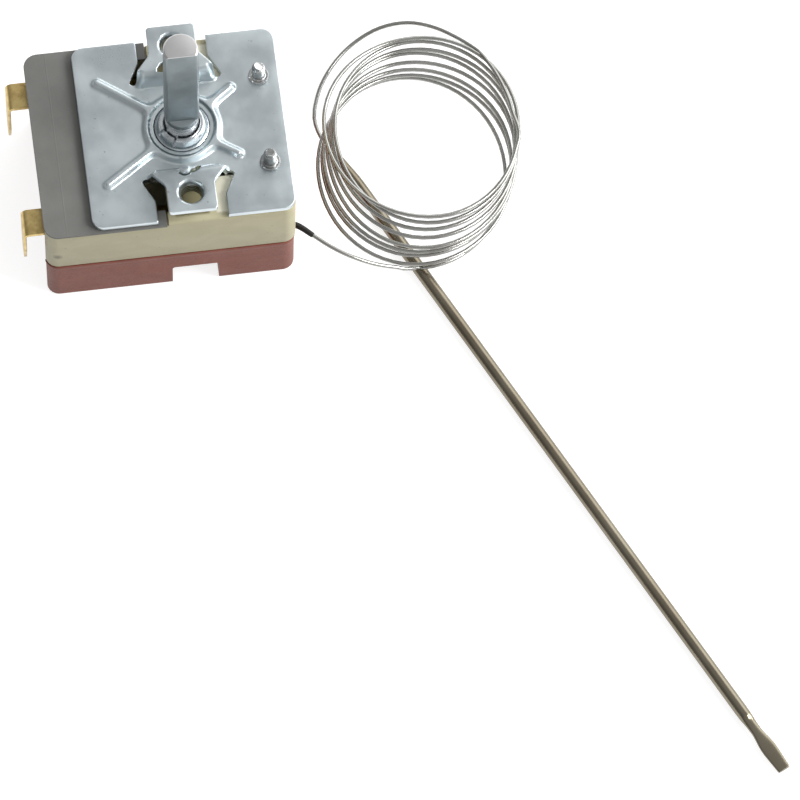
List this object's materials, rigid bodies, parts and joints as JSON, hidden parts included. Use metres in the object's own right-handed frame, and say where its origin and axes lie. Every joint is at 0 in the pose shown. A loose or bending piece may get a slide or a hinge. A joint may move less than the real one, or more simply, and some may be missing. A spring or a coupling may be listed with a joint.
{
  "type": "capillary thermostat",
  "caption": "Capillary thermostat with a D-shaft spindle, two raised screw tabs, two blade terminals, a coiled capillary and a rod-shaped sensor bulb.",
  "frame": {"origin": "centre of the spindle's axis in the plane of the base cover's underside", "axes": "+Z along the spindle, out of the mounting plate; +X towards the side where the capillary leaves; -X towards the blade terminals; -Y towards the base cover's notched wall"},
  "size_m": [0.1166, 0.1469, 0.054],
  "materials": {
    "zinc_steel": "fine matt zinc plating",
    "turned_steel": "turned",
    "brass_strip": "dull rolled strip",
    "contact_silver": "satin",
    "spring_bronze": "rolled strip",
    "cream_moulding": "moulded",
    "red_moulding": "moulded",
    "grey_sheet": "matt pressed sheet",
    "white_ceramic": "matt",
    "black_sleeve": "satin",
    "capillary_steel": "drawn tube"
  },
  "bodies": {
    "base": {"base_cover": "red_moulding", "upper_housing": "cream_moulding", "insulating_sheet": "grey_sheet", "mounting_plate": "zinc_steel", "threaded_bush": "turned_steel", "tie_rivet_front": "turned_steel", "tie_rivet_rear": "turned_steel", "base_screw": "turned_steel", "terminal_front": "brass_strip", "terminal_rear": "brass_strip", "terminal_rivet_front": "turned_steel", "terminal_rivet_rear": "turned_steel", "blade_rivet": "turned_steel", "fixed_contact": "contact_silver", "diaphragm_capsule": "turned_steel", "capillary_inner": "capillary_steel", "capillary_sleeve": "black_sleeve", "capillary_lead": "capillary_steel", "capillary_coil": "capillary_steel", "capillary_tail": "capillary_steel", "sensor_bulb": "capillary_steel"},
    "thrust_cap": {"thrust_cap": "white_ceramic"},
    "spindle": {"spindle": "zinc_steel", "stop_disc": "turned_steel"},
    "contact_arm": {"contact_blade": "spring_bronze", "moving_contact": "contact_silver"},
    "plunger": {"plunger": "white_ceramic"}
  },
  "joints": [
    {"name": "spindle_feed", "type": "slide", "parent": "base", "child": "thrust_cap", "axis": [0, 0, 1], "range_m": [-0.000625, 0]},
    {"name": "spindle_turn", "type": "hinge", "parent": "thrust_cap", "child": "spindle", "pos_m": [0, 0, 0.03], "axis": [0, 0, 1], "range_deg": [-300, 0]},
    {"name": "contact_lift", "type": "hinge", "parent": "base", "child": "contact_arm", "pos_m": [0, 0.012, 0.01665], "axis": [-1, 0, 0], "range_deg": [0, 2]},
    {"name": "plunger_lift", "type": "slide", "parent": "base", "child": "plunger", "axis": [0, 0, 1], "range_m": [0, 0.000418], "stiffness_N_per_m": 20, "springref_m": -0.0004}
  ],
  "couplings": [
    {"joint": "spindle_turn", "follows": "spindle_feed", "rad_per_m": 8377.5},
    {"joint": "contact_lift", "follows": "plunger_lift", "rad_per_m": 83.33}
  ]
}
